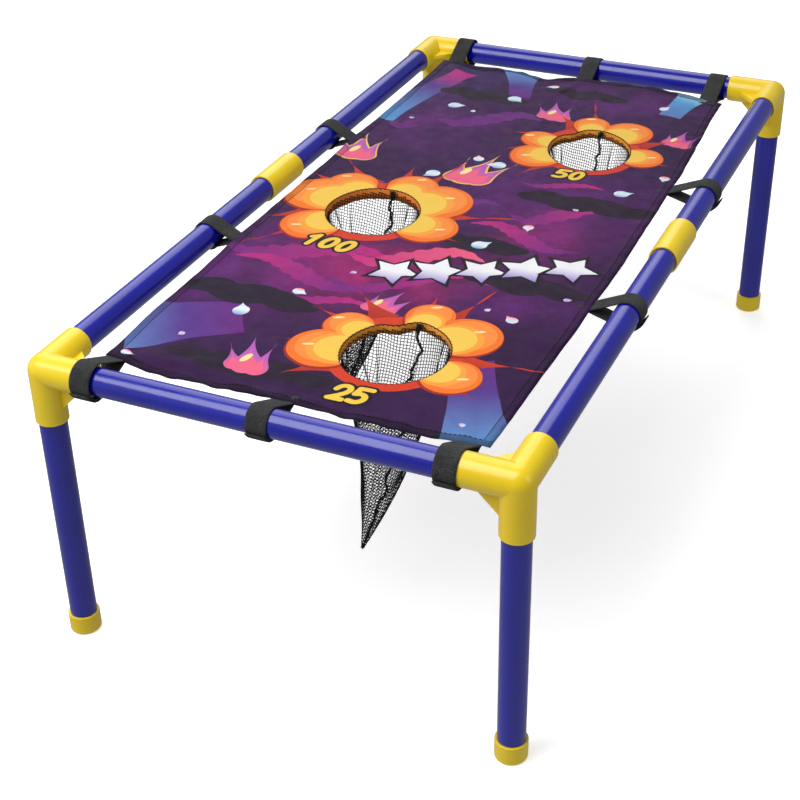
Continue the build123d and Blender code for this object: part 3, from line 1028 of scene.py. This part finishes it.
def strap(node, out, material):
    """One hook-and-loop strap: a loop of webbing round a rail, sewn under the cloth, with a lapped free end."""
    at = middle(node)
    size = Vector(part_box(node)[1]) - Vector(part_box(node)[0])
    core = FITTING_R if size.z > 2 * FITTING_R else TUBE_R
    edge = drape(*strap_root(node, out))
    if out.y:
        along, width = Vector((1, 0, 0)), size.x
        axis = Vector((at.x, out.y * HALF_L, RAIL_Z))
        reach = abs(axis.y / MM - edge[1])
    else:
        along, width = Vector((0, 1, 0)), size.y
        axis = Vector((out.x * HALF_W, at.y, RAIL_Z))
        reach = abs(axis.x / MM - edge[0])
    inner = drape(edge[0] - out.x * STRAP_LAP_MM, edge[1] - out.y * STRAP_LAP_MM)
    up = Vector((0, 0, 1))

    def frames(route):
        spots = [axis + (-out * x + up * y) * MM for x, y in route]
        return [(place, along, way_at(spots, k).cross(along)) for k, place in enumerate(spots)]

    rail = RAIL_Z / MM
    route = densify(strap_route(core / MM, reach, edge[2] - rail, inner[2] - rail, STRAP_T_MM), 1.5)
    loop = sweep(frames(route), band_section(width, STRAP_T_MM * MM))
    r = core / MM + STRAP_T_MM * 1.5 + 0.3
    tail = [toward(0, 0, r + TAIL_LIFT_MM * max(0.0, (k - 12) / 4) ** 2, radians(TAIL_START - TAIL_TURN * k / 16))
            for k in range(17)]
    lapped = sweep(frames(tail), band_section(width - 0.8 * MM, STRAP_T_MM * 0.85 * MM))
    obj = piece(node.replace("strap_", "webbing_"), *join([loop, lapped]), (material,))
    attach(obj, "frame")
    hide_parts(node)


def densify(route, step):
    """Add points so that no run of a route is longer than step."""
    out = []
    for a, b in zip(route, route[1:]):
        length = hypot(b[0] - a[0], b[1] - a[1])
        count = max(1, int(length / step))
        out += [(a[0] + (b[0] - a[0]) * k / count, a[1] + (b[1] - a[1]) * k / count) for k in range(count)]
    return out + [route[-1]]


# ---- CAD pieces, stage, light and camera ----
def dress_frame():
    """Give the CAD tubes, connectors and caps their plastics."""
    blue, blue_shade = linear(16, 20, 160), linear(12, 16, 146)
    yellow = plastic("yellow_plastic", linear(246, 214, 16), linear(242, 206, 10), 0.27)
    looks = {"corner_": yellow, "coupler_": yellow, "foot_": yellow,
             "end_rail": plastic("blue_tube_x", blue, blue_shade, 0.16, (0.02, 1, 1)),
             "side_rail": plastic("blue_tube_y", blue, blue_shade, 0.16, (1, 0.02, 1)),
             "leg_": plastic("blue_tube_z", blue, blue_shade, 0.16, (1, 1, 0.02))}
    for name, obj in frame["nodes"].items():
        for start, material in looks.items():
            if name.startswith(start):
                for slot in obj.material_slots:
                    slot.material = material


# The studio: an even dim room with soft boxes, (towards, outer and inner half angle in degrees, radiance).
FAR_M = 20.0
AMBIENT = 0.3
SOFTBOXES = (((-0.4, 0.66, 0.64), 30, 18, 1.8), ((-0.85, -0.45, 0.25), 45, 20, 0.5),
             ((0.0, -0.3, -1.0), 80, 30, 0.2))


def stage():
    corners = [(-FAR_M, -FAR_M), (FAR_M, -FAR_M), (FAR_M, FAR_M), (-FAR_M, FAR_M)]
    walls = [(k, (k + 1) % 4, 4 + (k + 1) % 4, 4 + k) for k in range(4)]
    for name, heights, faces, shade, glow in (
            ("floor", (0,), [(0, 1, 2, 3)], 247, 0.5), ("backdrop", (0, FAR_M), walls, 0, 1.0)):
        part = piece(name, [(x, y, z) for z in heights for x, y in corners], faces,
                     (paper(f"{name}_paper", shade, glow),), False)
        part.visible_diffuse = part.visible_glossy = part.visible_transmission = False
        part.visible_shadow = name == "floor"
    n = Nodes(bpy.data.worlds.new("studio"), "Background", "Generated")
    total = AMBIENT
    for axis, outer, inner, strength in SOFTBOXES:
        dot = n.add("ShaderNodeVectorMath", operation="DOT_PRODUCT")
        n.put(dot.inputs[0], n.place)
        n.put(dot.inputs[1], Vector(axis).normalized())
        glow = n.span(dot.outputs["Value"], cos(radians(outer)), cos(radians(inner)), 0.0, strength, "SMOOTHSTEP")
        total = n.math("ADD", glow, total)
    bpy.context.scene.world = n.finish(Color=(1.0, 1.0, 1.0, 1.0), Strength=total)
    lamp("overhead", (-0.6, -1.0, 1.9), (-0.1, -0.2, 0.28), (1.2, 1.7), 32)
    lamp("right", (2.2, -0.2, 1.4), (0, 0, 0.2), (0.9, 1.6), 8)
    bpy.context.scene.view_settings.view_transform = "Standard"


def lamp(name, place, aim, size, power):
    light = bpy.data.lights.new(name, "AREA")
    light.shape = "RECTANGLE"
    light.size, light.size_y = size
    light.energy = power
    obj = placed(name, light)
    obj.location = place
    obj.rotation_euler = (Vector(aim) - Vector(place)).to_track_quat("-Z", "Y").to_euler()


def camera():
    data = bpy.data.cameras.new("camera")
    data.lens = CAMERA_LENS
    data.sensor_width = 36.0
    obj = placed("camera", data)
    turn = (Matrix.Rotation(radians(CAMERA_AZIMUTH), 4, "Z")
            @ Matrix.Rotation(radians(90 - CAMERA_ELEVATION), 4, "X")
            @ Matrix.Rotation(radians(CAMERA_ROLL), 4, "Z"))
    obj.matrix_world = Matrix.Translation(CAMERA_PLACE) @ turn
    bpy.context.scene.camera = obj


camera()
stage()
dress_frame()
black_yarn = yarn("black_yarn", linear(10, 10, 11), linear(32, 32, 34))
cloth(printed_cloth("print_front"), printed_cloth("print_back", reverse=True))
stitching(black_yarn)
for score, spot in HOLES.items():
    net(score, black_yarn)
black_webbing = webbing()
for node, out in STRAPS:
    strap(node, out, black_webbing)
